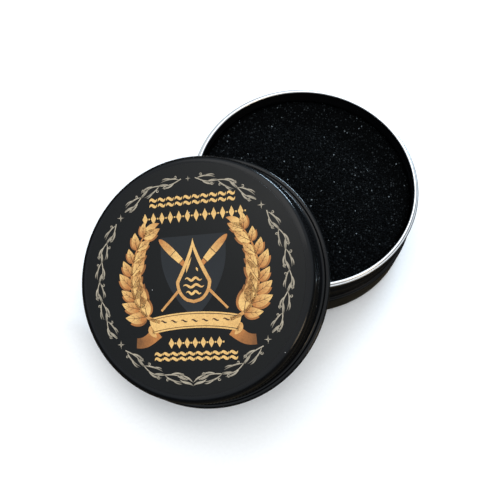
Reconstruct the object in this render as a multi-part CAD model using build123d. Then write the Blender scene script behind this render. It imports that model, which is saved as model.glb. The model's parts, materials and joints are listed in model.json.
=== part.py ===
from build123d import *
from math import cos, hypot, radians, sin
import os

# Wet palette: a round aluminium screw-top tin with a water-soaked foam pad in it. The tin stands open, and its lid
# lies aside: its curled edge stands on the table in front and it leans back on the tin's curled rim.
# Origin: centre of the tin's flat bottom, on the table. +Z is up. Millimetres.

# ---- driving dimensions: the tin ----
tin_height = 24.9          # table to the top of the curled rim
neck_radius = 37.6         # outside of the neck, which carries the thread
body_step = 1.2            # lower wall, proud of the neck
bottom_bend = 2.2          # outer radius of the bend from wall to bottom
step_bend = 0.5            # radius of both bends of the step
sheet = 0.5                # aluminium sheet with its coats
rim_curl = 0.8             # radius of the curled rim's tube
tin_thread_depth = 7.8     # rim top down to the lower end of the thread

# ---- driving dimensions: the lid ----
lid_height = 14.0          # curled edge to the outside of the top
lid_room = 0.8             # neck to the inside of the skirt, all round
lid_shoulder = 2.4         # outer radius of the bend from top to skirt
edge_proud = 2.6           # curled edge, proud of the skirt
lid_curl = 1.1             # radius of the curled edge's tube
flare_height = 3.0         # curled edge up to where the skirt starts to flare out
lid_thread_start = 3.4     # curled edge up to the lower end of the thread
groove_share = 0.6         # groove that the rolled thread leaves in the skirt's outside, its depth in sheets
grip_height = 8.0          # curled edge up to the middle of the grip bead
grip_width = 4.0           # height of the grip bead
grip_proud = 0.4           # grip bead, proud of the skirt
step_gap = 0.6             # curled edge to the tin's step when the lid is on

# ---- driving dimensions: both threads ----
thread_pitch = 2.8
thread_turns = 1.1
thread_width = 1.3         # width of a rolled ridge at its foot
thread_gap = 0.2           # top of a ridge to the wall that it faces when the lid is on
bite_share = 0.6           # how far a ridge's foot reaches into the sheet, in sheets

# ---- driving dimensions: the soft and printed pieces ----
pad_below_rim = 4.5        # rim top down to the foam's top face
pad_edge = 0.8             # rounding of the pad's edges
pad_side_gap = 0.3         # pad to the curled rim, all round
pad_floor_gap = 0.1        # pad to the tin's floor
liner_thickness = 1.0
liner_edge = 0.9           # rounding of the liner's upper edge, which lets it reach into the bend, over the rim
label_thickness = 0.12
label_edge_gap = 0.3       # label to the start of the lid's shoulder bend

# ---- driving dimensions: where the lid lies ----
lid_past_rim = 7.9         # lid's centre beyond the tin's rim, in plan
lid_direction = 231.6      # degrees from +X to the lid's centre, in plan
lid_turn = -49.9           # degrees that the lid is turned about its own axis
rest_gap = 0.2             # curled edge to curled rim, where the lid leans

# ---- worked out from them ----
body_radius = neck_radius + body_step
rim_mid_radius = neck_radius - sheet / 2
rim_mid_height = tin_height - rim_curl
mouth_radius = rim_mid_radius - rim_curl
lid_inner_radius = neck_radius + lid_room
lid_radius = lid_inner_radius + sheet
lid_edge_radius = lid_radius + edge_proud
edge_mid_radius = lid_edge_radius - lid_curl
lid_flat_radius = lid_radius - lid_shoulder
lid_inner_top = lid_height - sheet
neck_depth = lid_inner_top - liner_thickness + step_gap
thread_height = lid_room - thread_gap
groove_depth = groove_share * sheet
thread_bite = bite_share * sheet
lid_away = rim_mid_radius + rim_curl + lid_past_rim


def spin_half(section):
    """The solid that the +X half of a section in the XZ plane sweeps about the Z axis."""
    reach = 2 * lid_edge_radius
    half = Pos(reach / 2, 0) * Rectangle(reach, 4 * reach)
    return revolve(Plane.XZ * (section & half), Axis.Z)


def drawn_shell(outline):
    """One thickness of sheet inside a closed outline that is the same on both sides of the axis."""
    return outline - offset(outline, amount=-sheet)


def rolled_bar(radius, depth, start):
    """A flat round bar wound round a cylinder, which a rolled ridge or groove is cut from."""
    path = Pos(0, 0, start) * Helix(thread_pitch, thread_pitch * thread_turns, radius)
    section = Plane(path @ 0, x_dir=(1, 0, 0), z_dir=path % 0) * Ellipse(depth, thread_width / 2)
    return sweep(section, path, is_frenet=True)


def tin_body():
    """The base: bottom, lower wall, step, threaded neck and the curled rim."""
    step_height = tin_height - neck_depth
    lower = Pos(0, step_height / 2) * Rectangle(2 * body_radius, step_height)
    neck = Pos(0, tin_height / 2) * Rectangle(2 * neck_radius, tin_height)
    outline = lower + neck
    outline = fillet(outline.vertices().group_by(Axis.Y)[1], step_bend)
    outline = fillet(outline.vertices().group_by(Axis.Y)[0], bottom_bend)
    mouth = Pos(0, rim_mid_height + tin_height) * Rectangle(4 * body_radius, 2 * tin_height)
    curl = Pos(rim_mid_radius, rim_mid_height) * Circle(rim_curl)
    cup = spin_half(drawn_shell(outline) - mouth + curl)
    bar = rolled_bar(neck_radius, thread_height, tin_height - tin_thread_depth)
    ridge = bar - extrude(Circle(neck_radius - thread_bite), 2 * tin_height)
    return cup + ridge


def lid_shell():
    """The lid in its own frame: curled edge on the XY plane, top outwards along +Z."""
    outline = Rectangle(2 * lid_radius, 2 * lid_height)
    outline = fillet(outline.vertices().group_by(Axis.Y)[-1], lid_shoulder)
    mouth = Pos(0, flare_height - lid_height) * Rectangle(4 * lid_radius, 2 * lid_height)
    curl = Pos(edge_mid_radius, lid_curl) * Circle(lid_curl)
    flare_top = [(lid_inner_radius, flare_height), (lid_radius, flare_height)]
    flare_foot = [(edge_mid_radius + sheet / 2, lid_curl), (edge_mid_radius - sheet / 2, lid_curl)]
    flare = make_face(Polyline(flare_top + flare_foot, close=True))
    grip = Pos(lid_radius, grip_height) * Ellipse(grip_proud, grip_width / 2)
    grip_outside = grip & (Pos(lid_radius + sheet / 2, grip_height) * Rectangle(2 * sheet, grip_width))
    cap = spin_half(drawn_shell(outline) - mouth + flare + curl + grip_outside)
    inner_bar = rolled_bar(lid_inner_radius, thread_height, lid_thread_start)
    ridge = inner_bar & extrude(Circle(lid_inner_radius + thread_bite), lid_height)
    groove = rolled_bar(lid_radius, groove_depth, lid_thread_start)
    return cap + ridge - groove


def lid_liner():
    """The gasket disc under the lid's top, which seals on the curled rim."""
    disc = extrude(Circle(lid_flat_radius + liner_edge), liner_thickness)
    disc = fillet(disc.edges().filter_by(GeomType.CIRCLE).group_by(Axis.Z)[-1], liner_edge)
    return Pos(0, 0, lid_inner_top - liner_thickness) * disc


def lid_label():
    """The round printed label on the flat of the lid's top."""
    return Pos(0, 0, lid_height) * extrude(Circle(lid_flat_radius - label_edge_gap), label_thickness)


def sponge_pad():
    """The foam pad: it fills the tin from its floor to just under the rim, and passes the mouth."""
    pad_bottom = sheet + pad_floor_gap
    pad_top = tin_height - pad_below_rim
    pad = Pos(0, 0, pad_bottom) * extrude(Circle(mouth_radius - pad_side_gap), pad_top - pad_bottom)
    return fillet(pad.edges().filter_by(GeomType.CIRCLE), pad_edge)


def lid_height_at(tilt):
    """Height of the lid frame's origin when the curled edge stands on the table."""
    return edge_mid_radius * sin(tilt) + lid_curl * (1 - cos(tilt))


def rim_to_edge(tilt):
    """Gap between the lid's curled edge and the tin's curled rim at a tilt, negative once the edge is below the rim."""
    nearest = []
    for step in range(720):
        turn = radians(step / 2)
        along = lid_curl * sin(tilt) - edge_mid_radius * cos(tilt) * cos(turn)
        aside = edge_mid_radius * sin(turn)
        above = lid_height_at(tilt) + lid_curl * cos(tilt) + edge_mid_radius * sin(tilt) * cos(turn) - rim_mid_height
        nearest.append((hypot(hypot(lid_away + along, aside) - rim_mid_radius, above), above))
    distance, above = min(nearest)
    return distance - rim_curl - lid_curl if above > 0 else -distance


def leaning_tilt():
    """The tilt, in radians, at which the lid just leans on the rim, found by halving."""
    low, high = radians(5), radians(60)
    for _ in range(30):
        middle = (low + high) / 2
        if rim_to_edge(middle) > rest_gap:
            high = middle
        else:
            low = middle
    return high


def lid_place(tilt):
    """The lid's frame where it leans: its open side faces down and back over the tin."""
    bearing = radians(lid_direction)
    turn = radians(lid_turn)
    away = Vector(cos(bearing), sin(bearing), 0)
    outward = away * sin(tilt) + Vector(0, 0, cos(tilt))
    downhill = away * cos(tilt) - Vector(0, 0, sin(tilt))
    level = outward.cross(downhill)
    centre = away * lid_away + Vector(0, 0, lid_height_at(tilt))
    return Plane(centre, x_dir=level * cos(turn) + downhill * sin(turn), z_dir=outward)


os.makedirs("parts", exist_ok=True)
place = lid_place(leaning_tilt())
pieces = {
    "tin_body": tin_body(),
    "sponge_pad": sponge_pad(),
    "lid_shell": place.location * lid_shell(),
    "lid_liner": place.location * lid_liner(),
    "lid_label": place.location * lid_label(),
}
for name, piece in pieces.items():
    piece.label = name
    export_step(piece, f"parts/{name}.step")
print(f"lid centre {place.origin}, outward axis {place.z_dir}, right {place.x_dir}")
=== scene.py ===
import json
import math

import bmesh
import bpy
from bpy.props import FloatProperty, FloatVectorProperty, IntProperty, PointerProperty
from mathutils import Matrix, Vector, noise


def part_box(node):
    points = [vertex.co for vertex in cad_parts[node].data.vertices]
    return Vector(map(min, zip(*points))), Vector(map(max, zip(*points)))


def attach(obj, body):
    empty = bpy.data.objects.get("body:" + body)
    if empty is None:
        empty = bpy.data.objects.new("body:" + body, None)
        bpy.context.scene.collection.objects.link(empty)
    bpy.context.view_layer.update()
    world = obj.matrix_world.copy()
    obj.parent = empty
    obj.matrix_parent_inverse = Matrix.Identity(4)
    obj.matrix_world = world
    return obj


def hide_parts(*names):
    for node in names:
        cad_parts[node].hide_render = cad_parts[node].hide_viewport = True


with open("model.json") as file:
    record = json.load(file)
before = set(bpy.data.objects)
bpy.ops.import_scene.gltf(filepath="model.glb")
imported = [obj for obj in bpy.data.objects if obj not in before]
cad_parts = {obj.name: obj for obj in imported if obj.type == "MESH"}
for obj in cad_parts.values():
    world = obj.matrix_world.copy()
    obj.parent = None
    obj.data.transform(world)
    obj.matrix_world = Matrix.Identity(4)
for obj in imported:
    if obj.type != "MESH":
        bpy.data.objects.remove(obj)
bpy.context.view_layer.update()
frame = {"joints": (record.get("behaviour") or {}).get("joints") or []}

bl_info = {
    "name": "Wet palette",
    "version": (1, 0, 0),
    "blender": (4, 5, 0),
    "location": "View3D > Sidebar > Wet palette",
    "description": "Builds an open screw tin with a wet foam pad and its printed lid leaning on the rim",
    "category": "Object",
}

MM = 0.001
TIN_LOW, TIN_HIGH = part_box("tin_body")
PAD_LOW, PAD_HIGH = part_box("sponge_pad")
LABEL_LOW, LABEL_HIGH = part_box("lid_label")
LID_OUT = Vector([joint["axis"] for joint in frame["joints"] if joint["name"] == "lid_lift"][0]).normalized()
LABEL_THICKNESS = 0.12 * MM
TIN_THREAD_TURNS = 1.1
LID_THREAD_TURNS = 1.0
LINER_EDGE = 0.9 * MM   # rounding of the liner, and its reach past the shoulder's start
LABEL_GAP = 0.3 * MM    # label to the shoulder's start
BORDER = 31.2         # middle radius of the printed border, mm
ART_X = 1.0           # middle of the print, right of the label's middle, mm
EMBLEM_Y = 1.4        # middle of the emblem, mm
BANNER_Y = -13.6      # middle of the banner, mm


def length_value(label, text, default):
    """A size that the user may change, in metres."""
    return FloatProperty(name=label, description=text, default=default, unit="LENGTH", subtype="DISTANCE",
                         precision=5)


def colour_value(label, text, default):
    """A linear colour that the user may change."""
    return FloatVectorProperty(name=label, description=text, default=default, size=3, subtype="COLOR", min=0,
                               max=1)


class TinSizes(bpy.types.PropertyGroup):
    """Sizes of the tin, the same as the drawn sheet's own."""
    neck: length_value("Neck radius", "Outside of the threaded neck", 37.6 * MM)
    body: length_value("Body radius", "Outside of the lower wall", TIN_HIGH.x)
    height: length_value("Height", "Table to the top of the curled rim", TIN_HIGH.z)
    neck_depth: length_value("Neck depth", "Rim top down to the step", 13.1 * MM)
    bend: length_value("Bottom bend", "Outer radius of the bottom's bend", 2.2 * MM)
    step_bend: length_value("Step bend", "Radius of both bends of the step", 0.5 * MM)
    sheet: length_value("Sheet", "Thickness of the coated sheet", 0.5 * MM)
    curl: length_value("Rim curl", "Radius of the curled rim's tube", 0.8 * MM)
    thread_depth: length_value("Thread depth", "Rim top down to the lower end of the thread", 7.8 * MM)
    thread_height: length_value("Thread height", "How far the rolled thread stands proud", 0.6 * MM)
    thread_pitch: length_value("Thread pitch", "Rise of the thread in one turn", 2.8 * MM)
    steps: IntProperty(name="Steps", description="Divisions round the tin", default=384, min=32)


class LidSizes(bpy.types.PropertyGroup):
    """Sizes of the lid, in the lid's own frame."""
    height: length_value("Height", "Curled edge to the outside of the top", 14.0 * MM)
    radius: length_value("Skirt radius", "Outside of the skirt", 38.9 * MM)
    edge: length_value("Edge radius", "Outside of the curled edge", 41.5 * MM)
    shoulder: length_value("Shoulder", "Outer radius of the bend from top to skirt", 2.4 * MM)
    curl: length_value("Edge curl", "Radius of the curled edge's tube", 1.1 * MM)
    flare: length_value("Flare height", "Where the skirt starts to flare out", 3.0 * MM)
    grip_middle: length_value("Grip height", "Middle of the ribbed grip bead", 8.0 * MM)
    grip_width: length_value("Grip width", "Height of the ribbed grip bead", 4.0 * MM)
    grip_proud: length_value("Grip proud", "How far the grip bead stands out", 0.4 * MM)
    rib_depth: length_value("Rib depth", "Depth of the gaps between the ribs", 0.28 * MM)
    ribs: IntProperty(name="Ribs", description="Ribs round the grip bead", default=220, min=20)
    thread_start: length_value("Thread start", "Lower end of the rolled thread", 3.4 * MM)
    print_turn: FloatProperty(name="Print turn", description="Turn of the print about the lid's axis",
                              default=math.radians(-46.4), subtype="ANGLE")


class PadSizes(bpy.types.PropertyGroup):
    """Sizes of the foam pad and its cells."""
    pore: length_value("Pore", "Distance between two cells of the foam", 0.8 * MM)
    depth: length_value("Pore depth", "How deep the open cells go", 0.55 * MM)
    cut_wave: length_value("Cut wave", "Unevenness of the cut face", 0.25 * MM)
    grid: IntProperty(name="Grid", description="Divisions across the pad's top", default=300, min=20)


class Inks(bpy.types.PropertyGroup):
    """Colours of the coat and the print."""
    coat: colour_value("Coat", "Stoved black coat", (0.0024, 0.0028, 0.0036))
    label: colour_value("Label", "Black film of the label", (0.0058, 0.0062, 0.0062))
    gold_light: colour_value("Light gold", "Light end of the gold ink", (0.86, 0.53, 0.185))
    gold_deep: colour_value("Deep gold", "Deep end of the gold ink", (0.52, 0.20, 0.05))
    silver: colour_value("Pale ink", "Pale ink of the border", (0.50, 0.435, 0.33))
    shade: colour_value("Shade ink", "Blue-grey ink behind the drop", (0.0105, 0.0138, 0.018))


# ---- shared helpers ----

def lid_matrix():
    """Places the lid's own frame: origin on the plane of the curled edge, +X to the print's right."""
    sizes = bpy.context.scene.palette_lid
    away = Vector((LID_OUT.x, LID_OUT.y, 0)).normalized()
    downhill = (away - LID_OUT * away.dot(LID_OUT)).normalized()
    level = LID_OUT.cross(downhill)
    right = level * math.cos(sizes.print_turn) + downhill * math.sin(sizes.print_turn)
    up = LID_OUT.cross(right)
    centre = (LABEL_LOW + LABEL_HIGH) / 2 - LID_OUT * (sizes.height + LABEL_THICKNESS / 2)
    turned = Matrix((right, up, LID_OUT)).transposed().to_4x4()
    return Matrix.Translation(centre) @ turned


def arc(centre, radius, start, end, count):
    """Points on an arc in the (radius, height) plane, angles in degrees."""
    points = []
    for step in range(count + 1):
        angle = math.radians(start + (end - start) * step / count)
        points.append((centre[0] + radius * math.cos(angle), centre[1] + radius * math.sin(angle)))
    return points


def run(start, end, count):
    """Inner points of a straight run, so that the mesh has rows to shape there."""
    return [(start[0] + (end[0] - start[0]) * step / count, start[1] + (end[1] - start[1]) * step / count)
            for step in range(1, count)]


def spin_outline(outline, steps):
    """A bmesh spun from an open outline of (radius, height) points, welded on the axis."""
    mesh = bmesh.new()
    row = [mesh.verts.new((radius, 0, height)) for radius, height in outline]
    edges = [mesh.edges.new(pair) for pair in zip(row, row[1:])]
    bmesh.ops.spin(mesh, geom=row + edges, cent=(0, 0, 0), axis=(0, 0, 1), angle=2 * math.pi, steps=steps,
                   use_merge=True)
    bmesh.ops.remove_doubles(mesh, verts=mesh.verts, dist=1e-7)
    bmesh.ops.recalc_face_normals(mesh, faces=mesh.faces)
    return mesh


def finish_piece(mesh, name, body, materials, matrix=None, replaced=None):
    """Turns a bmesh into a placed object that rides on a body."""
    if matrix:
        bmesh.ops.transform(mesh, matrix=matrix, verts=mesh.verts)
    data = bpy.data.meshes.new(name)
    mesh.to_mesh(data)
    mesh.free()
    data.shade_smooth()
    piece = bpy.data.objects.new(name, data)
    bpy.context.scene.collection.objects.link(piece)
    for material in materials:
        data.materials.append(material)
    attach(piece, body)
    if replaced:
        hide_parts(replaced)
    return piece


def smooth_step(low, high, value):
    """0 below low, 1 above high, and a smooth rise between."""
    share = min(max((value - low) / (high - low), 0), 1)
    return share * share * (3 - 2 * share)


def thread_bump(angle, height, start, pitch, turns, half_width):
    """How much a rolled thread moves the sheet at a place on it, from 0 to 1."""
    best = 0
    for turn in (0, 1):
        along = angle / (2 * math.pi) + turn
        if along > turns:
            continue
        ends = smooth_step(0, 0.08, along) * smooth_step(0, 0.08, turns - along)
        off = (height - start - pitch * along) / half_width
        if abs(off) < 1:
            best = max(best, ends * (0.5 + 0.5 * math.cos(math.pi * off)))
    return best


# ---- node helpers ----

def node(tree, kind, inputs=None, **settings):
    """One node with its settings and its unlinked inputs; an input may be another node's socket."""
    made = tree.nodes.new(kind)
    for key, value in settings.items():
        setattr(made, key, value)
    for key, value in (inputs or {}).items():
        if isinstance(value, bpy.types.NodeSocket):
            tree.links.new(value, made.inputs[key])
        else:
            made.inputs[key].default_value = value
    return made


def cloudy(tree, where, scale, detail, roughness=0.5):
    """Soft random shades, from 0 to 1."""
    return node(tree, "ShaderNodeTexNoise",
                {"Vector": where, "Scale": scale, "Detail": detail, "Roughness": roughness}).outputs["Fac"]


def maths(tree, operation, first, second):
    """The result of one sum on two values."""
    return node(tree, "ShaderNodeMath", {0: first, 1: second}, operation=operation).outputs[0]


def ramp(tree, factor, stops):
    """A colour ramp of (position, colour) stops."""
    made = node(tree, "ShaderNodeValToRGB", {"Fac": factor})
    elements = made.color_ramp.elements
    while len(elements) < len(stops):
        elements.new(0.5)
    for element, (position, colour) in zip(elements, stops):
        element.position = position
        element.color = (*colour, 1)
    return made.outputs["Color"]


def mapped(tree, value, low, high):
    """A value from 0 to 1, stretched to run from low to high."""
    return node(tree, "ShaderNodeMapRange", {"Value": value, "To Min": low, "To Max": high}).outputs["Result"]


def new_group(name, inputs, outputs):
    """An empty node group with the inputs and outputs named, and its two end nodes."""
    group = bpy.data.node_groups.new(name, "ShaderNodeTree")
    for label, kind, default in inputs:
        socket = group.interface.new_socket(name=label, in_out="INPUT", socket_type=kind)
        if default is not None:
            socket.default_value = default
    for label, kind in outputs:
        group.interface.new_socket(name=label, in_out="OUTPUT", socket_type=kind)
    return group, group.nodes.new("NodeGroupInput"), group.nodes.new("NodeGroupOutput")


def dust_and_glint_group():
    """Mask of sparse specks: real dust on the coats and the label, and painted glints (painted highlights) on the
    foam.
    """
    if "dust_and_painted_glints" in bpy.data.node_groups:
        return bpy.data.node_groups["dust_and_painted_glints"]
    group, start, end = new_group(
        "dust_and_painted_glints",
        [("Vector", "NodeSocketVector", None), ("Spacing", "NodeSocketFloat", 400.0),
         ("Speck", "NodeSocketFloat", 0.06), ("Share", "NodeSocketFloat", 0.9)],
        [("Mask", "NodeSocketFloat")])
    cells = node(group, "ShaderNodeTexVoronoi",
                 {"Vector": start.outputs["Vector"], "Scale": start.outputs["Spacing"]})
    near = maths(group, "LESS_THAN", cells.outputs["Distance"], start.outputs["Speck"])
    parts = node(group, "ShaderNodeSeparateColor", {"Color": cells.outputs["Color"]})
    chosen = maths(group, "GREATER_THAN", parts.outputs["Red"], start.outputs["Share"])
    both = maths(group, "MULTIPLY", near, chosen)
    group.links.new(both, end.inputs["Mask"])
    return group


def smudge_group():
    """Soft uneven gloss, as handling leaves on a coat, and the fine orange peel of sprayed or stoved film."""
    if "handled_gloss" in bpy.data.node_groups:
        return bpy.data.node_groups["handled_gloss"]
    group, start, end = new_group(
        "handled_gloss",
        [("Vector", "NodeSocketVector", None), ("Patch", "NodeSocketFloat", 60.0),
         ("Peel", "NodeSocketFloat", 900.0),
         ("Low", "NodeSocketFloat", 0.2), ("High", "NodeSocketFloat", 0.4)],
        [("Roughness", "NodeSocketFloat"), ("Height", "NodeSocketFloat")])
    patches = cloudy(group, start.outputs["Vector"], start.outputs["Patch"], 5.0, 0.65)
    rough = node(group, "ShaderNodeMapRange",
                 {"Value": patches, "From Min": 0.3, "From Max": 0.7,
                  "To Min": start.outputs["Low"], "To Max": start.outputs["High"]})
    peel = cloudy(group, start.outputs["Vector"], start.outputs["Peel"], 2.0)
    group.links.new(rough.outputs["Result"], end.inputs["Roughness"])
    group.links.new(peel, end.inputs["Height"])
    return group


def spun_group():
    """Fine rings round an axis, as drawing and rolling leave on sheet."""
    if "spun_rings" in bpy.data.node_groups:
        return bpy.data.node_groups["spun_rings"]
    group, start, end = new_group(
        "spun_rings",
        [("Vector", "NodeSocketVector", None), ("Scale", "NodeSocketFloat", 1500.0)],
        [("Rings", "NodeSocketFloat")])
    parts = node(group, "ShaderNodeSeparateXYZ", {"Vector": start.outputs["Vector"]})
    flat = node(group, "ShaderNodeCombineXYZ", {"X": parts.outputs["X"], "Y": parts.outputs["Y"]})
    reach = node(group, "ShaderNodeVectorMath", {0: flat.outputs[0]}, operation="LENGTH")
    turn = maths(group, "ARCTAN2", parts.outputs["Y"], parts.outputs["X"])
    slow = maths(group, "MULTIPLY", turn, 0.0008)
    place = node(group, "ShaderNodeCombineXYZ",
                 {"X": reach.outputs["Value"], "Y": parts.outputs["Z"], "Z": slow})
    rings = cloudy(group, place.outputs[0], start.outputs["Scale"], 4.0, 0.6)
    group.links.new(rings, end.inputs["Rings"])
    return group


def place_group(tree, group, inputs):
    """A node group placed in a material with its own values."""
    return node(tree, "ShaderNodeGroup", inputs, node_tree=group)


def blend(tree, factor, first, second, way="MIX"):
    """Two colours mixed, or multiplied."""
    return node(tree, "ShaderNodeMix", {"Factor": factor, "A": first, "B": second}, data_type="RGBA",
                blend_type=way).outputs["Result"]


def faded(colour, share):
    """A darker shade of a colour."""
    return tuple(value * share for value in colour)


def dress(tree, shader, colour, roughness, specular=None):
    """Links a surface's colour and roughness, and sets its specular level where it isn't the usual one."""
    tree.links.new(colour, shader.inputs["Base Color"])
    tree.links.new(roughness, shader.inputs["Roughness"])
    if specular is not None:
        shader.inputs["Specular IOR Level"].default_value = specular


def new_material(name):
    """An empty material with a Principled shader, and the Object coordinates that its patterns use."""
    material = bpy.data.materials.new(name)
    material.use_nodes = True
    tree = material.node_tree
    shader = tree.nodes["Principled BSDF"]
    where = tree.nodes.new("ShaderNodeTexCoord").outputs["Object"]
    return material, tree, shader, where


def lid_axis_place(tree, where):
    """Object coordinates turned into the lid's own frame, for patterns round its axis."""
    inverse = lid_matrix().inverted()
    return node(tree, "ShaderNodeMapping",
                {"Vector": where, "Location": inverse.translation,
                 "Rotation": inverse.to_euler()}).outputs["Vector"]


def bump(tree, shader, height, strength, distance):
    """A bump of the given height field on a shader."""
    made = node(tree, "ShaderNodeBump", {"Height": height, "Strength": strength, "Distance": distance})
    tree.links.new(made.outputs["Normal"], shader.inputs["Normal"])


# ---- materials ----

def black_coat(name, level, low, high, on_lid=True):
    """Stoved black on drawn aluminium, with rings from the drawing, soft smudges and a little dust."""
    material, tree, shader, where = new_material(name)
    inks = bpy.context.scene.palette_inks
    axis_place = lid_axis_place(tree, where) if on_lid else where
    gloss = place_group(tree, smudge_group(), {"Vector": where, "Low": low, "High": high})
    rings = place_group(tree, spun_group(), {"Vector": axis_place, "Scale": 1300.0})
    dust = place_group(tree, dust_and_glint_group(), {"Vector": where, "Spacing": 260.0, "Speck": 0.045, "Share": 0.93})
    warm = tuple(value * tint for value, tint in zip(inks.coat, (1.7, 1.5, 1.2)))
    body = ramp(tree, rings.outputs["Rings"], [(0.35, inks.coat), (0.75, warm)])
    mixed = blend(tree, dust.outputs["Mask"], body, (0.3, 0.3, 0.3, 1))
    dress(tree, shader, mixed, gloss.outputs["Roughness"], level)
    bump(tree, shader, rings.outputs["Rings"], 0.025, 0.00004)
    return material


def bare_aluminium():
    """The uncoated curled rim: bright metal with fine rolling lines, and painted shade: a dark crease between the
    two rolls and a darker tan lower roll that darkens further towards its bottom.
    """
    material, tree, shader, where = new_material("bare_rim_aluminium")
    tin = bpy.context.scene.palette_tin
    rings = place_group(tree, spun_group(), {"Vector": where, "Scale": 5200.0})
    gloss = place_group(tree, smudge_group(), {"Vector": where, "Low": 0.30, "High": 0.42, "Patch": 220.0})
    parts = node(tree, "ShaderNodeSeparateXYZ", {"Vector": where})
    # painted shade by height: lower roll darker and darker towards its bottom, a dark crease line, upper roll
    # bright
    level = node(tree, "ShaderNodeMapRange",
                 {"Value": parts.outputs["Z"], "From Min": tin.height - 2 * tin.curl, "From Max": tin.height})
    rolls_painted_shade = ramp(tree, level.outputs["Result"],
                 [(0.05, (0.12, 0.10, 0.08)), (0.34, (0.36, 0.32, 0.27)), (0.52, (0.02, 0.018, 0.016)),
                  (0.66, (0.62, 0.64, 0.66)), (1.0, (0.84, 0.85, 0.86))])
    lines = ramp(tree, rings.outputs["Rings"], [(0.3, (0.88, 0.88, 0.88)), (0.6, (1, 1, 1))])
    dress(tree, shader, blend(tree, 1.0, rolls_painted_shade, lines, "MULTIPLY"), gloss.outputs["Roughness"])
    shader.inputs["Metallic"].default_value = 1
    bump(tree, shader, rings.outputs["Rings"], 0.03, 0.00002)
    return material


def foam_material():
    """Coarse open-cell foam, black, with many faint and a few bright painted glints: painted highlights in the
    base colour where cell walls would catch light.
    """
    material, tree, shader, where = new_material("black_cell_foam")
    cells = node(tree, "ShaderNodeTexVoronoi", {"Vector": where, "Scale": 2100.0}, feature="F1")
    tint = ramp(tree, cells.outputs["Distance"],
                [(0.1, (0.0016, 0.0021, 0.0026)), (0.7, (0.0004, 0.0005, 0.0006))])
    patch = cloudy(tree, where, 160.0, 3.0)
    # painted highlights: three layers of light specks mixed into the foam's base colour as glints
    for spacing, speck, share, shine in ((1500.0, 0.40, 0.74, 0.010), (1250.0, 0.36, 0.86, 0.022),
                                         (1000.0, 0.26, 0.965, 0.16)):
        painted_glint = place_group(tree, dust_and_glint_group(),
                            {"Vector": where, "Spacing": spacing, "Speck": speck, "Share": share})
        uneven = maths(tree, "MULTIPLY", painted_glint.outputs["Mask"], patch)
        tint = blend(tree, uneven, tint, (shine * 1.5, shine * 1.75, shine * 1.9, 1))
    dress(tree, shader, tint, mapped(tree, cells.outputs["Distance"], 0.5, 0.85), 0.02)
    bump(tree, shader, cells.outputs["Distance"], 0.6, 0.0003)
    return material


def liner_material():
    """Pale closed-cell gasket foam with fine pores, whose hollows are painted darker as shade."""
    material, tree, shader, where = new_material("pale_gasket_foam")
    cells = node(tree, "ShaderNodeTexVoronoi", {"Vector": where, "Scale": 2600.0})
    stain = cloudy(tree, where, 45.0, 4.0)
    tint = ramp(tree, stain, [(0.3, (0.60, 0.60, 0.58)), (0.7, (0.74, 0.74, 0.72))])
    # painted shade: each pore darker towards its middle, where the bump sinks it
    pores = ramp(tree, cells.outputs["Distance"], [(0.0, (0.72, 0.72, 0.72)), (0.35, (1, 1, 1))])
    mixed = blend(tree, 1.0, tint, pores, "MULTIPLY")
    dress(tree, shader, mixed, mapped(tree, stain, 0.6, 0.85), 0.25)
    bump(tree, shader, cells.outputs["Distance"], 0.35, 0.0001)
    return material


def label_material():
    """Satin black film: even, a little lighter than the coat, with print grain and dust."""
    material, tree, shader, where = new_material("satin_label_film")
    inks = bpy.context.scene.palette_inks
    grain = cloudy(tree, where, 2600.0, 3.0)
    gloss = place_group(tree, smudge_group(), {"Vector": where, "Low": 0.34, "High": 0.46, "Patch": 35.0})
    dust = place_group(tree, dust_and_glint_group(), {"Vector": where, "Spacing": 230.0, "Speck": 0.035, "Share": 0.9})
    deep = faded(inks.label, 0.75)
    tint = ramp(tree, grain, [(0.3, deep), (0.7, inks.label)])
    mixed = blend(tree, dust.outputs["Mask"], tint, (0.5, 0.5, 0.5, 1))
    dress(tree, shader, mixed, gloss.outputs["Roughness"], 0.19)
    bump(tree, shader, grain, 0.08, 0.00003)
    return material


def ink_material(name, light, deep, low=0.0, high=1.0):
    """Printed ink that runs from one shade to the other along its stroke, with a screened grain."""
    material, tree, shader, where = new_material(name)
    stroke = node(tree, "ShaderNodeUVMap", None, uv_map="stroke")
    parts = node(tree, "ShaderNodeSeparateXYZ", {"Vector": stroke.outputs["UV"]})
    grain = cloudy(tree, where, 1800.0, 4.0, 0.7)
    brush = cloudy(tree, where, 420.0, 3.0)
    drift = maths(tree, "MULTIPLY", brush, 0.7)
    mixed = maths(tree, "ADD", parts.outputs["X"], drift)
    run_value = node(tree, "ShaderNodeMapRange",
                     {"Value": mixed, "From Min": 0.3 + low, "From Max": 0.3 + high})
    tint = ramp(tree, run_value.outputs["Result"], [(0.1, light), (0.9, deep)])
    speck = ramp(tree, grain, [(0.32, (0.72, 0.72, 0.72)), (0.55, (1, 1, 1))])
    worn = blend(tree, 1.0, tint, speck, "MULTIPLY")
    dress(tree, shader, worn, mapped(tree, grain, 0.4, 0.6), 0.35)
    bump(tree, shader, grain, 0.1, 0.00003)
    return material


def floor_material():
    """Plain pale paper sweep."""
    material, tree, shader, where = new_material("pale_paper")
    fibres = cloudy(tree, where, 900.0, 3.0)
    tint = ramp(tree, fibres, [(0.3, (0.94, 0.94, 0.94)), (0.7, (0.97, 0.97, 0.97))])
    tree.links.new(tint, shader.inputs["Base Color"])
    shader.inputs["Roughness"].default_value = 0.9
    shader.inputs["Specular IOR Level"].default_value = 0.1
    return material


# ---- print: strokes on the lid's top ----

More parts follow.
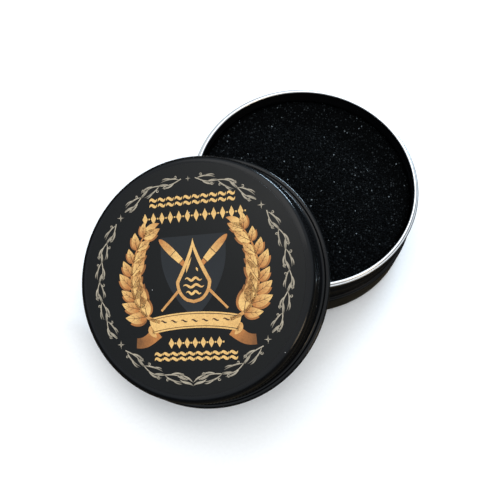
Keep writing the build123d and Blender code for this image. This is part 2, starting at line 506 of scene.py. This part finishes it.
class Print:
    """Collects flat strokes on the lid's top, in millimetres, +Y up, and makes one piece of them."""

    def __init__(self):
        self.mesh = bmesh.new()
        self.uv = self.mesh.loops.layers.uv.new("stroke")

    def stroke(self, path, width, parts=14, tone=(0, 1), across=2):
        """A blade along path(t), width(t) wide, with t from 0 to 1."""
        verts = bmesh.ops.create_grid(self.mesh, x_segments=parts, y_segments=across, size=1)["verts"]
        shares = {}
        for vert in verts:
            along = (vert.co.x + 1) / 2
            side = vert.co.y
            here = Vector(path(along))
            step = Vector(path(min(along + 0.01, 1))) - Vector(path(max(along - 0.01, 0)))
            left = Vector((-step.y, step.x)).normalized()
            spot = here + left * side * width(along) / 2
            shares[vert] = (tone[0] + (tone[1] - tone[0]) * along, side / 2 + 0.5)
            vert.co = (spot.x, spot.y, 0)
        for face in {face for vert in verts for face in vert.link_faces}:
            for loop in face.loops:
                loop[self.uv].uv = shares[loop.vert]

    def finish(self, name, material, level, thickness=0.05):
        """Gives the strokes their ink thickness and puts them on the lid."""
        bmesh.ops.remove_doubles(self.mesh, verts=self.mesh.verts, dist=1e-4)
        bmesh.ops.recalc_face_normals(self.mesh, faces=self.mesh.faces)
        for face in self.mesh.faces:
            if face.normal.z < 0:
                face.normal_flip()
        bmesh.ops.solidify(self.mesh, geom=self.mesh.faces[:], thickness=-thickness)
        height = bpy.context.scene.palette_lid.height + LABEL_THICKNESS + level * MM
        matrix = lid_matrix() @ Matrix.Translation((0, 0, height)) @ Matrix.Scale(MM, 4)
        piece = finish_piece(self.mesh, name, "lid", [material], matrix)
        piece.data.shade_flat()


def tapered(widest, power=1.0):
    """A width that swells in the middle of a stroke."""
    return lambda along: max(widest * math.sin(math.pi * along) ** power, 0.02)


def polar(radius, angle):
    """A point on the lid's top from its radius and its angle in degrees, clockwise from the top."""
    turn = math.radians(90 - angle)
    return radius * math.cos(turn), radius * math.sin(turn)


def bezier(p0, p1, p2, p3):
    """A smooth path between p0 and p3."""
    def path(t):
        s = 1 - t
        return tuple(s ** 3 * a + 3 * s * s * t * b + 3 * s * t * t * c + t ** 3 * d
                     for a, b, c, d in zip(p0, p1, p2, p3))
    return path


def spiral(centre, start_radius, end_radius, start, turns):
    """A spiral path, start in degrees."""
    def path(t):
        radius = start_radius + (end_radius - start_radius) * t
        angle = math.radians(start + 360 * turns * t)
        return centre[0] + radius * math.cos(angle), centre[1] + radius * math.sin(angle)
    return path


def sparkle(ink, x, y, size, tone=(0, 0.3)):
    """A four-pointed sparkle."""
    for dx, dy in ((1, 0), (0, 1)):
        ink.stroke(lambda t, dx=dx, dy=dy: (x + dx * size * (2 * t - 1), y + dy * size * (2 * t - 1)),
                   lambda t: max(size * 0.42 * (1 - abs(2 * t - 1)) ** 1.6, 0.015), 8, tone)


# ---- operators ----

class PALETTE_OT_stage(bpy.types.Operator):
    """Sets up the floor, the lights and the camera"""
    bl_idname = "palette.stage"
    bl_label = "Stage"

    def execute(self, context):
        scene = context.scene
        mesh = bmesh.new()
        bmesh.ops.create_grid(mesh, x_segments=8, y_segments=8, size=3)
        bmesh.ops.translate(mesh, vec=(0, 0, -0.0001), verts=mesh.verts)
        data = bpy.data.meshes.new("paper_floor")
        mesh.to_mesh(data)
        mesh.free()
        floor = bpy.data.objects.new("paper_floor", data)
        scene.collection.objects.link(floor)
        data.materials.append(floor_material())
        floor.visible_glossy = False
        self.sky(scene)
        scene.view_settings.view_transform = "Standard"
        self.light("key_softbox", (-0.10, 0.22, 0.62), (0.7, 0.6), 1.9, (1.0, 0.99, 0.97))
        self.light("edge_strip", (0.19, 0.50, 0.20), (0.26, 0.05), 3.0, (0.62, 0.82, 1.0))
        self.light("warm_fill", (0.45, -0.34, 0.20), (0.16, 0.16), 0.6, (1.0, 0.80, 0.55))
        self.camera(scene)
        return {"FINISHED"}

    def sky(self, scene):
        """A soft tent of light: bright overhead, dim and warm below the table, pale where the camera sees it."""
        world = bpy.data.worlds.new("soft_tent")
        world.use_nodes = True
        tree = world.node_tree
        ray = node(tree, "ShaderNodeTexCoord").outputs["Generated"]
        rise = node(tree, "ShaderNodeSeparateXYZ", {"Vector": ray}).outputs["Z"]
        level = node(tree, "ShaderNodeMapRange", {"Value": rise, "From Min": -1.0, "From Max": 1.0})
        tent = ramp(tree, level.outputs["Result"],
                    [(0.30, (0.065, 0.055, 0.036)), (0.49, (0.02, 0.019, 0.016)),
                     (0.60, (0.03, 0.034, 0.040)),
                     (0.74, (0.66, 0.74, 0.82)), (1.0, (0.90, 0.92, 0.94))])
        seen = node(tree, "ShaderNodeLightPath").outputs["Is Camera Ray"]
        mixed = blend(tree, seen, tent, (0.85, 0.87, 0.89, 1))
        tree.links.new(mixed, tree.nodes["Background"].inputs["Color"])
        tree.nodes["Background"].inputs["Strength"].default_value = 1.2
        scene.world = world

    def light(self, name, place, size, watts, tint):
        """A rectangular softbox aimed at the tin."""
        data = bpy.data.lights.new(name, "AREA")
        data.shape = "RECTANGLE"
        data.size, data.size_y = size
        data.energy = watts
        data.color = tint
        lamp = bpy.data.objects.new(name, data)
        lamp.location = place
        lamp.rotation_euler = (Vector((-0.01, -0.02, 0.02)) - Vector(place)).to_track_quat("-Z",
                                                                                           "Y").to_euler()
        bpy.context.scene.collection.objects.link(lamp)

    def camera(self, scene):
        """Stands at the front, well above the table, and looks down at the tin."""
        place = Vector((-0.00472, -0.10276, 0.20631))
        target = Vector((-0.01580, -0.02208, 0.01200))
        data = bpy.data.cameras.new("view_camera")
        data.sensor_width = 36
        data.lens = 44.1
        data.clip_start = 0.01
        data.clip_end = 20
        camera = bpy.data.objects.new("view_camera", data)
        level = (target - place).to_track_quat("-Z", "Y")
        camera.matrix_world = Matrix.Translation(place) @ level.to_matrix().to_4x4()
        scene.collection.objects.link(camera)
        scene.camera = camera


class PALETTE_OT_tin(bpy.types.Operator):
    """Builds the tin: drawn cup, stepped and threaded neck, and bare curled rim"""
    bl_idname = "palette.tin"
    bl_label = "Tin"

    def execute(self, context):
        sizes = context.scene.palette_tin
        outline = self.outline(sizes)
        mesh = spin_outline(outline, sizes.steps)
        start = sizes.height - sizes.thread_depth
        low, high = sizes.height - sizes.neck_depth + sizes.step_bend * 2, sizes.height - 2 * sizes.curl
        for vert in mesh.verts:
            reach = math.hypot(vert.co.x, vert.co.y)
            if reach < sizes.neck - 2 * sizes.sheet or not low < vert.co.z < high:
                continue
            turn = math.atan2(vert.co.y, vert.co.x) % (2 * math.pi)
            push = thread_bump(turn, vert.co.z, start, sizes.thread_pitch, TIN_THREAD_TURNS, 0.9 * MM)
            scale = (reach + push * sizes.thread_height) / reach
            vert.co.x *= scale
            vert.co.y *= scale
        for face in mesh.faces:
            middle = face.calc_center_median()
            outside = math.hypot(middle.x, middle.y) > sizes.neck - sizes.sheet / 2
            bare_depth = 2 * sizes.curl if outside else 0.9 * sizes.curl
            face.material_index = 1 if middle.z > sizes.height - bare_depth else 0
        coats = [black_coat("tin_black_coat", 0.12, 0.26, 0.42, False), bare_aluminium()]
        finish_piece(mesh, "tin_cup", "tin", coats, None, "tin_body")
        return {"FINISHED"}

    def outline(self, sizes):
        """Section of the cup from the middle of its underside round the rim to the middle of its floor."""
        sheet, step = sizes.sheet, sizes.step_bend
        shelf = sizes.height - sizes.neck_depth
        neck_in, body_in = sizes.neck - sheet, sizes.body - sheet
        middle = (sizes.neck - sheet / 2, sizes.height - sizes.curl)
        roll = 0.58 * sizes.curl
        upper = (middle[0] - sizes.curl + roll, sizes.height - roll)
        lower = (middle[0] + sizes.curl - roll, middle[1] - 0.30 * sizes.curl)
        points = [(0, 0), (12 * MM, 0), (24 * MM, 0), (34 * MM, 0)]
        points += arc((sizes.body - sizes.bend, sizes.bend), sizes.bend, -90, 0, 10)
        points += run((sizes.body, sizes.bend), (sizes.body, shelf - step), 12)
        points += arc((sizes.body - step, shelf - step), step, 0, 90, 5)
        points += arc((sizes.neck + step, shelf + step), step, 270, 180, 5)
        points += run((sizes.neck, shelf + step), (sizes.neck, middle[1] - sizes.curl), 34)
        points += [(sizes.neck, middle[1] - sizes.curl * 0.98)]
        points += arc(lower, roll, -70, 98, 14)
        points += arc(upper, roll, -12, 205, 18)
        points += [(neck_in, middle[1] - sizes.curl)]
        points += run((neck_in, middle[1] - sizes.curl), (neck_in, shelf + step), 34)
        points += arc((neck_in + step, shelf + step - sheet), step, 180, 225, 2)
        points += arc((body_in - step, shelf - step - sheet), step, 60, 0, 3)
        points += [(body_in, sizes.bend)]
        points += arc((sizes.body - sizes.bend, sizes.bend), sizes.bend - sheet, 0, -90, 6)
        return points + [(30 * MM, sheet), (15 * MM, sheet), (0, sheet)]


class PALETTE_OT_sponge(bpy.types.Operator):
    """Builds the open-cell foam pad"""
    bl_idname = "palette.sponge"
    bl_label = "Sponge"

    def execute(self, context):
        sizes = context.scene.palette_pad
        radius = PAD_HIGH.x
        mesh = bmesh.new()
        bmesh.ops.create_grid(mesh, x_segments=sizes.grid, y_segments=sizes.grid, size=radius)
        outside = [vert for vert in mesh.verts if math.hypot(vert.co.x, vert.co.y) > radius]
        bmesh.ops.delete(mesh, geom=outside, context="VERTS")
        rim = [edge for edge in mesh.edges if edge.is_boundary]
        for vert in {vert for edge in rim for vert in edge.verts}:
            vert.co.xy = vert.co.xy.normalized() * radius
        bmesh.ops.translate(mesh, vec=(0, 0, PAD_HIGH.z), verts=mesh.verts)
        depth = PAD_HIGH.z - PAD_LOW.z
        rows = 22
        for row in range(rows):
            grown = bmesh.ops.extrude_edge_only(mesh, edges=rim)["geom"]
            rim = [item for item in grown if isinstance(item, bmesh.types.BMEdge)]
            fresh = [item for item in grown if isinstance(item, bmesh.types.BMVert)]
            bmesh.ops.translate(mesh, vec=(0, 0, -depth / rows), verts=fresh)
        bmesh.ops.contextual_create(mesh, geom=rim)
        bmesh.ops.recalc_face_normals(mesh, faces=mesh.faces)
        self.open_cells(mesh, sizes, radius)
        piece = finish_piece(mesh, "foam_pad", "pad", [foam_material()], None, "sponge_pad")
        return {"FINISHED"}

    def open_cells(self, mesh, sizes, radius):
        """Sinks a cell round each random seed and leaves the walls between them standing."""
        for vert in mesh.verts:
            place = vert.co / sizes.pore
            distances, _ = noise.voronoi(place)
            wall = min((distances[1] - distances[0]) * 2.2, 1)
            wave = noise.noise(vert.co * 120) * sizes.cut_wave
            sink = sizes.depth * smooth_step(0, 1, wall) * (0.7 + 0.6 * noise.noise(place * 0.7))
            reach = math.hypot(vert.co.x, vert.co.y)
            if vert.co.z > PAD_HIGH.z - 0.0002:
                rounding = smooth_step(radius - 0.0012, radius, reach) * 0.0006
                vert.co.z -= sink + abs(wave) + rounding
            elif vert.co.z > PAD_LOW.z + 0.0002:
                scale = (reach - sink * 0.8) / reach
                vert.co.x *= scale
                vert.co.y *= scale


class PALETTE_OT_lid(bpy.types.Operator):
    """Builds the screw lid: shoulder, ribbed grip bead, rolled thread and curled edge"""
    bl_idname = "palette.lid"
    bl_label = "Lid"

    def execute(self, context):
        sizes = context.scene.palette_lid
        tin = context.scene.palette_tin
        mesh = spin_outline(self.outline(sizes, tin.sheet), sizes.ribs * 4)
        inner = sizes.radius - tin.sheet
        for vert in mesh.verts:
            reach = math.hypot(vert.co.x, vert.co.y)
            if reach < inner - 0.3 * MM or vert.co.z > sizes.height - sizes.shoulder:
                continue
            turn = math.atan2(vert.co.y, vert.co.x) % (2 * math.pi)
            move = 0
            if vert.co.z > sizes.flare:
                move -= tin.thread_height * 0.8 * thread_bump(turn, vert.co.z, sizes.thread_start,
                                                              tin.thread_pitch,
                                                              LID_THREAD_TURNS, 0.8 * MM)
            off = (vert.co.z - sizes.grip_middle) / (sizes.grip_width / 2)
            if abs(off) < 1 and reach > inner + tin.sheet / 2:
                gap = 0.5 - 0.5 * math.cos(turn * sizes.ribs)
                move -= sizes.rib_depth * gap * smooth_step(0, 0.35, 1 - abs(off))
            vert.co.x *= (reach + move) / reach
            vert.co.y *= (reach + move) / reach
        for face in mesh.faces:
            level = face.calc_center_median().z
            glossy = level > sizes.height - 1.1 * sizes.shoulder or level < 2.2 * sizes.curl
            face.material_index = 0 if glossy else 1
        # painted shade: the skirt and grip take a copy of the coat that reflects far less, so they render darker
        # than the shoulder and the curled edge
        coats = [black_coat("lid_gloss_coat", 0.22, 0.15, 0.24),
                 black_coat("lid_skirt_painted_shade_coat", 0.045, 0.24, 0.38)]
        finish_piece(mesh, "screw_lid", "lid", coats, lid_matrix(), "lid_shell")
        return {"FINISHED"}

    def outline(self, sizes, sheet):
        """Section of the lid from the middle of its top round the curled edge to the middle of its inside."""
        inner = sizes.radius - sheet
        middle = (sizes.edge - sizes.curl, sizes.curl)
        bend_low = sizes.height - sizes.shoulder
        grip_low = sizes.grip_middle - sizes.grip_width / 2
        grip_high = sizes.grip_middle + sizes.grip_width / 2
        points = [(0, sizes.height), (15 * MM, sizes.height), (30 * MM, sizes.height)]
        points += arc((sizes.radius - sizes.shoulder, bend_low), sizes.shoulder, 90, 0, 16)
        points += [(sizes.radius - 0.15 * MM, grip_high + 0.6 * MM)]
        for step in range(13):
            off = 1 - 2 * step / 12
            proud = sizes.grip_proud * math.sqrt(max(1 - off * off, 0))
            points.append((sizes.radius + proud, sizes.grip_middle + off * sizes.grip_width / 2))
        points += run((sizes.radius, grip_low), (sizes.radius, sizes.flare), 10)
        points += [(sizes.radius, sizes.flare), (sizes.radius + 0.35 * MM, sizes.flare - 0.45 * MM)]
        points += arc(middle, sizes.curl, 125, -190, 26)
        points += [(inner + 0.35 * MM, sizes.flare - 0.45 * MM), (inner, sizes.flare)]
        points += run((inner, sizes.flare), (inner, grip_low), 12)
        points += [(inner, grip_low), (inner, sizes.grip_middle), (inner, grip_high)]
        points += arc((sizes.radius - sizes.shoulder, bend_low), sizes.shoulder - sheet, 0, 90, 6)
        return points + [(20 * MM, sizes.height - sheet), (0, sizes.height - sheet)]


class PALETTE_OT_liner(bpy.types.Operator):
    """Builds the gasket disc inside the lid, with the ring that the rim has pressed into it"""
    bl_idname = "palette.liner"
    bl_label = "Liner"

    def execute(self, context):
        sizes = context.scene.palette_lid
        tin = context.scene.palette_tin
        top = sizes.height - tin.sheet - 0.01 * MM
        low = sizes.height - tin.sheet - 1.0 * MM
        corner = LINER_EDGE
        edge = sizes.radius - sizes.shoulder + corner
        press = tin.neck - tin.sheet / 2
        points = [(0, top)] + arc((edge - corner, top - corner), corner, 90, 5, 8)
        points += [(edge, low + 0.06 * MM)]
        dented = []
        for step in range(13):
            reach = press + tin.curl - 1.6 * tin.curl * step / 12
            if reach < edge - 0.02 * MM:
                dent = 0.22 * MM * math.exp(-((reach - press) / (0.5 * tin.curl)) ** 2)
                dented.append((reach, low + dent))
        points += dented + [(press - 1.4 * tin.curl, low), (20 * MM, low), (0, low)]
        mesh = spin_outline(points, 192)
        finish_piece(mesh, "gasket_liner", "lid", [liner_material()], lid_matrix(), "lid_liner")
        return {"FINISHED"}


class PALETTE_OT_label(bpy.types.Operator):
    """Builds the round film label on the lid's top"""
    bl_idname = "palette.label"
    bl_label = "Label"

    def execute(self, context):
        sizes = context.scene.palette_lid
        reach = sizes.radius - sizes.shoulder - LABEL_GAP
        base, top, soft = sizes.height, sizes.height + LABEL_THICKNESS, LABEL_THICKNESS * 0.6
        points = [(0, base), (reach, base)]
        points += arc((reach - soft, top - soft), soft, 0, 90, 4)
        points += [(0, top)]
        mesh = spin_outline(points, 256)
        finish_piece(mesh, "film_label", "lid", [label_material()], lid_matrix(), "lid_label")
        return {"FINISHED"}


class PALETTE_OT_border(bpy.types.Operator):
    """Prints the scrolling border round the label"""
    bl_idname = "palette.border"
    bl_label = "Border"

    def execute(self, context):
        inks = context.scene.palette_inks
        ink = Print()
        for way in (-1, 1):
            for first, last, units in ((5, 44, 3), (54, 125, 6), (135, 176, 3)):
                span = (last - first) / units
                for unit in range(units):
                    self.scroll(ink, way, first + span * (unit + 0.5), span, 1 if unit % 2 else -1)
            for angle in (49, 130):
                sparkle(ink, *polar(BORDER, way * angle), 1.3)
            ink.stroke(bezier(polar(BORDER + 0.2, way * 172), polar(BORDER + 1.6, way * 175),
                              polar(BORDER + 0.6, way * 178), polar(BORDER + 2.0, 180)), tapered(0.7), 12,
                              (0, 0.6))
            ink.stroke(bezier(polar(BORDER - 1.0, way * 173), polar(BORDER - 0.8, way * 176),
                              polar(BORDER - 0.2, way * 178), polar(BORDER + 1.0, 180)), tapered(0.5), 12,
                              (0, 0.6))
        sparkle(ink, *polar(BORDER, 0), 0.9)
        material = ink_material("pale_border_ink", inks.silver, faded(inks.silver, 0.5))
        ink.finish("scroll_border", material, 0.0)
        return {"FINISHED"}

    def scroll(self, ink, way, start, span, hand):
        """One unit of the border: a swaying stem with three leaves, a curl and a dot."""
        def spot(along, out):
            return polar(BORDER + hand * out, way * (start + span * along))
        ink.stroke(lambda t: spot(1.1 * t - 0.55, 0.85 * math.sin(math.pi * (1.1 * t - 0.05))),
                   lambda t: 0.3, 18, (0.1, 0.5))
        leaves = (((-0.46, 0.0), (-0.24, -0.9), (0.06, -1.3), (0.40, -0.9), 0.42),
                  ((-0.22, 0.7), (-0.02, 1.6), (0.22, 1.75), (0.44, 1.0), 0.5),
                  ((-0.06, -1.1), (0.10, -1.5), (0.22, -1.75), (0.34, -1.5), 0.34),
                  ((0.04, 0.9), (0.18, 0.5), (0.30, 0.0), (0.52, -0.35), 0.46))
        for root, bend, second, tip, width in leaves:
            ink.stroke(bezier(spot(*root), spot(*bend), spot(*second), spot(*tip)), tapered(width, 0.8), 12,
                       (0, 0.9))
        turn = 90 - way * start
        ink.stroke(spiral(spot(0.30, 1.25), 0.55, 0.12, turn + 90 * hand, way * hand * 1.2),
                   tapered(0.24, 0.4),
                   20, (0, 0.6))
        ink.stroke(spiral(spot(-0.30, -1.15), 0.5, 0.12, turn - 90 * hand, way * hand * 1.1),
                   tapered(0.24, 0.4),
                   20, (0, 0.6))


class PALETTE_OT_emblem(bpy.types.Operator):
    """Prints the water drop and the crossed brushes in the middle"""
    bl_idname = "palette.emblem"
    bl_label = "Emblem"

    def execute(self, context):
        inks = context.scene.palette_inks
        gold = ink_material("emblem_gold_ink", inks.gold_light, inks.gold_deep)
        shade = ink_material("emblem_shade_ink", inks.shade, faded(inks.shade, 0.7))
        dark = ink_material("emblem_core_ink", inks.label, inks.label)
        x, y = ART_X, EMBLEM_Y
        back = Print()
        back.stroke(lambda t: (x, y - 13.5 + 25 * t),
                    lambda t: 21.5 * math.sin(math.pi / 2 * min(1.25 * t + 0.01, 1)) ** 0.75, 28, (0, 1), 12)
        back.finish("emblem_ground", shade, 0.0, 0.03)
        brushes = Print()
        for side in (-1, 1):
            self.paintbrush(brushes, x, y, side)
        brushes.finish("crossed_brushes", gold, 0.03)
        self.drop(x, y + 10.6, 20.2, 11.6, gold, "water_drop", 0.07)
        self.drop(x, y + 7.6, 16.2, 9.4, dark, "drop_core", 0.11)
        light = Print()
        for row, width in enumerate((5.6, 7.0, 5.0)):
            level = y - 2.2 - 2.1 * row
            light.stroke(lambda t, width=width, level=level:
                         (x + width * (t - 0.5), level + 0.42 * math.sin(4 * math.pi * t)),
                         tapered(0.8, 0.6), 22, (0, 0.3))
        light.stroke(bezier((x - 0.5, y + 4.6), (x - 1.4, y + 2.6), (x - 2.0, y + 1.4), (x - 2.3, y - 0.2)),
                     tapered(0.7), 12, (0, 0.2))
        light.stroke(lambda t: (x + 1.0 + 0.5 * t, y + 1.5 - 1.4 * t), tapered(0.6), 8, (0, 0.2))
        light.finish("drop_light", gold, 0.15)
        return {"FINISHED"}

    def drop(self, x, tip, height, width, material, name, level):
        """A hanging drop from its tip to its round foot."""
        belly = 0.66

        def across(t):
            if t < belly:
                return max(width * (t / belly) ** 1.25, 0.05)
            return max(width * math.sqrt(max(1 - ((t - belly) / (1 - belly)) ** 2, 0)), 0.05)
        ink = Print()
        ink.stroke(lambda t: (x, tip - height * t), across, 34, (0, 0.6), 8)
        ink.finish(name, material, level)

    def paintbrush(self, ink, x, y, side):
        """A round brush that points up and outwards."""
        def along(low, high):
            return lambda t: (x + side * (low + (high - low) * t) * 0.70,
                              y - 0.5 + (low + (high - low) * t) * 0.714)
        ink.stroke(along(-15.5, 5.6), lambda t: 0.7 + 0.9 * t ** 1.5, 16, (0.5, 0.9), 3)
        ink.stroke(along(5.8, 9.4), lambda t: 1.9 + 0.5 * t, 6, (0, 0.15), 3)
        ink.stroke(along(9.6, 16.2), lambda t: max(2.9 * (1 - t) ** 0.55 * (0.8 + 0.6 * t), 0.03), 14,
                   (0.25, 0.9), 3)


class PALETTE_OT_sprays(bpy.types.Operator):
    """Prints the two leafy sprays beside the emblem"""
    bl_idname = "palette.sprays"
    bl_label = "Sprays"

    def execute(self, context):
        inks = context.scene.palette_inks
        gold = ink_material("spray_gold_ink", inks.gold_light, inks.gold_deep, 0.25, 1.1)
        rust = ink_material("spray_rust_ink", inks.gold_deep, faded(inks.gold_deep, 0.55))
        dark = faded(inks.gold_deep, 0.3)
        vein = ink_material("spray_vein_ink", dark, dark)
        back, leaves, veins = Print(), Print(), Print()
        for side in (-1, 1):
            self.spray(back, leaves, veins, side)
        back.finish("leaf_shadows", rust, 0.0, 0.03)
        leaves.finish("leaf_sprays", gold, 0.03)
        veins.finish("leaf_veins", vein, 0.075, 0.02)
        return {"FINISHED"}

    def spray(self, back, leaves, veins, side):
        """A curved stem with pairs of leaves that shrink towards its tip, over a darker layer."""
        stem = bezier((ART_X + side * 11.5, -13.5), (ART_X + side * 22.5, -11.5), (ART_X + side * 24.0, 5.0),
                      (ART_X + side * 15.5, 15.0))
        count = 8
        for number in range(count):
            t = 0.15 + 0.80 * number / (count - 1)
            foot = Vector(stem(t))
            ahead = (Vector(stem(min(t + 0.02, 1))) - Vector(stem(max(t - 0.02, 0)))).normalized()
            for hand in (-1, 1):
                inner = hand * side > 0
                for layer, opening, share in ((back, 66, 0.86), (leaves, 44, 1.0)):
                    turn = math.radians(opening - 8 * t) * hand
                    way = Vector((ahead.x * math.cos(turn) - ahead.y * math.sin(turn),
                                  ahead.x * math.sin(turn) + ahead.y * math.cos(turn)))
                    uneven = 0.9 + 0.1 * math.sin(number * 2.1 + hand)
                    reach = (9.6 if inner else 8.2) * (1 - 0.34 * t) * uneven * share
                    tip = foot + way * reach * 0.84 + ahead * reach * 0.16
                    path = bezier(foot, foot + way * reach * 0.3, foot + way * reach * 0.62, tip)
                    layer.stroke(path, self.leaf_width(reach * 0.5), 14, (0.0, 0.9) if inner else (1.1, 0.15),
                                 4)
                    if layer is leaves:
                        veins.stroke(path, lambda u: 0.22 * (1 - 0.8 * u), 10)
                        for side_share in (0.36, 0.58):
                            self.side_vein(veins, path, side_share, reach * 0.14)
        leaves.stroke(stem, lambda t: 1.1 - 0.7 * t, 30, (0.6, 1))
        end = Vector(stem(1))
        leaves.stroke(bezier(stem(0.97), end + Vector((-side * 0.8, 1.0)), end + Vector((-side * 2.2, 2.2)),
                             end + Vector((-side * 4.4, 2.6))), self.leaf_width(2.4), 12, (0, 0.9), 4)

    def leaf_width(self, widest):
        """Width of a pointed leaf, broadest a third of the way up."""
        return lambda t: max(widest * math.sin(math.pi * min(t, 1) ** 0.75) ** 0.85, 0.04)

    def side_vein(self, veins, path, share, reach):
        """Two short veins that branch from the middle one."""
        foot = Vector(path(share))
        ahead = (Vector(path(share + 0.05)) - foot).normalized()
        for hand in (-1, 1):
            aside = Vector((-ahead.y, ahead.x)) * hand
            veins.stroke(bezier(foot, foot + ahead * reach * 0.3 + aside * reach * 0.3,
                                foot + ahead * reach * 0.8 + aside * reach * 0.7,
                                foot + ahead * reach * 1.2 + aside * reach), lambda u: 0.13 * (1 - 0.8 * u),
                                6)


class PALETTE_OT_banner(bpy.types.Operator):
    """Prints the blank banner under the emblem"""
    bl_idname = "palette.banner"
    bl_label = "Banner"

    def execute(self, context):
        inks = context.scene.palette_inks
        gold = ink_material("banner_gold_ink", inks.gold_light, inks.gold_deep, 0.1, 1.5)
        fold = ink_material("banner_fold_ink", inks.gold_deep, faded(inks.gold_deep, 0.4))
        line = ink_material("banner_line_ink", faded(inks.gold_deep, 0.3), inks.label)
        face, tails, lines = Print(), Print(), Print()
        x, y = ART_X, BANNER_Y
        bow = bezier((x - 14.5, y - 1.2), (x - 6.0, y + 0.8), (x + 6.0, y + 0.8), (x + 14.5, y - 1.2))
        face.stroke(bow, lambda t: 4.9, 28, (0.0, 0.4), 6)
        for side in (-1, 1):
            tails.stroke(bezier((x + side * 12.2, y - 3.0), (x + side * 15.4, y - 5.6),
                                (x + side * 16.4, y - 6.4),
                                (x + side * 19.4, y - 6.2)), lambda t: 4.0 - 0.9 * t, 14, (0.0, 0.9), 4)
            face.stroke(bezier((x + side * 12.6, y - 4.6), (x + side * 14.0, y - 3.4),
                               (x + side * 15.2, y - 2.4),
                               (x + side * 14.5, y - 0.9)), tapered(1.8, 0.6), 12, (0.5, 0.9), 3)
        for offset in (-1.9, 1.9):
            lines.stroke(lambda t, offset=offset: (bow(0.03 + 0.94 * t)[0], bow(0.03 + 0.94 * t)[1] + offset),
                         lambda t: 0.22, 24)
        for number in range(-3, 4):
            lines.stroke(bezier((x + number * 3.4 - 1.1, y + 0.1), (x + number * 3.4 - 0.4, y + 1.1),
                                (x + number * 3.4 + 0.4, y - 0.9), (x + number * 3.4 + 1.1, y + 0.1)),
                         tapered(0.5, 0.6), 12)
        tails.finish("banner_tails", fold, 0.0)
        face.finish("banner_face", gold, 0.03)
        lines.finish("banner_lines", line, 0.07, 0.02)
        return {"FINISHED"}


class PALETTE_OT_marks(bpy.types.Operator):
    """Prints the rows of waves and lozenges above and below"""
    bl_idname = "palette.marks"
    bl_label = "Marks"

    def execute(self, context):
        inks = context.scene.palette_inks
        gold = ink_material("mark_gold_ink", inks.gold_light, faded(inks.gold_light, 0.9))
        ink = Print()
        rows = ((24.3, 10, 2.9, 3.8), (19.2, 12, 2.9, 3.8), (-20.2, 7, 2.6, 3.2), (-24.2, 10, 2.7, 3.2))
        for height, count, pitch, tall in rows:
            waves = abs(height) > 22
            for number in range(count):
                x = ART_X + (number - (count - 1) / 2) * pitch
                if waves:
                    for offset in (-0.24, 0.24):
                        wave = [(x + aside, height + (offset + above) * tall)
                                for aside, above in ((-1.3, -0.12), (-0.5, 0.5), (0.5, -0.5), (1.3, 0.12))]
                        ink.stroke(bezier(*wave), tapered(0.9, 0.6), 14)
                else:
                    ink.stroke(lambda t, x=x: (x, height + tall * (t - 0.5)),
                               lambda t: max(1.8 * (1 - abs(2 * t - 1)), 0.02), 8)
                    ink.stroke(lambda t, x=x: (x + pitch / 2, height + 0.5 * (t - 0.5)), lambda t: 0.5, 4)
        ink.finish("row_marks", gold, 0.0)
        return {"FINISHED"}


class PALETTE_PT_panel(bpy.types.Panel):
    """Lists the pieces of the wet palette"""
    bl_idname = "PALETTE_PT_panel"
    bl_label = "Wet palette"
    bl_space_type = "VIEW_3D"
    bl_region_type = "UI"
    bl_category = "Wet palette"

    def draw(self, context):
        for operator in PIECES:
            self.layout.operator(operator.bl_idname)
        for group in ("palette_tin", "palette_lid", "palette_pad", "palette_inks"):
            values = getattr(context.scene, group)
            for key in values.__annotations__:
                self.layout.prop(values, key)


PIECES = (PALETTE_OT_stage, PALETTE_OT_tin, PALETTE_OT_sponge, PALETTE_OT_lid, PALETTE_OT_liner,
          PALETTE_OT_label,
          PALETTE_OT_border, PALETTE_OT_emblem, PALETTE_OT_sprays, PALETTE_OT_banner, PALETTE_OT_marks)
GROUPS = {"palette_tin": TinSizes, "palette_lid": LidSizes, "palette_pad": PadSizes, "palette_inks": Inks}


def register():
    for group in GROUPS.values():
        bpy.utils.register_class(group)
    for key, group in GROUPS.items():
        setattr(bpy.types.Scene, key, PointerProperty(type=group))
    for piece in PIECES + (PALETTE_PT_panel,):
        bpy.utils.register_class(piece)


def unregister():
    for piece in reversed(PIECES + (PALETTE_PT_panel,)):
        bpy.utils.unregister_class(piece)
    for key, group in GROUPS.items():
        delattr(bpy.types.Scene, key)
        bpy.utils.unregister_class(group)


def main():
    register()
    for piece in PIECES:
        family, action = piece.bl_idname.split(".")
        getattr(getattr(bpy.ops, family), action)()


if __name__ == "__main__":
    main()
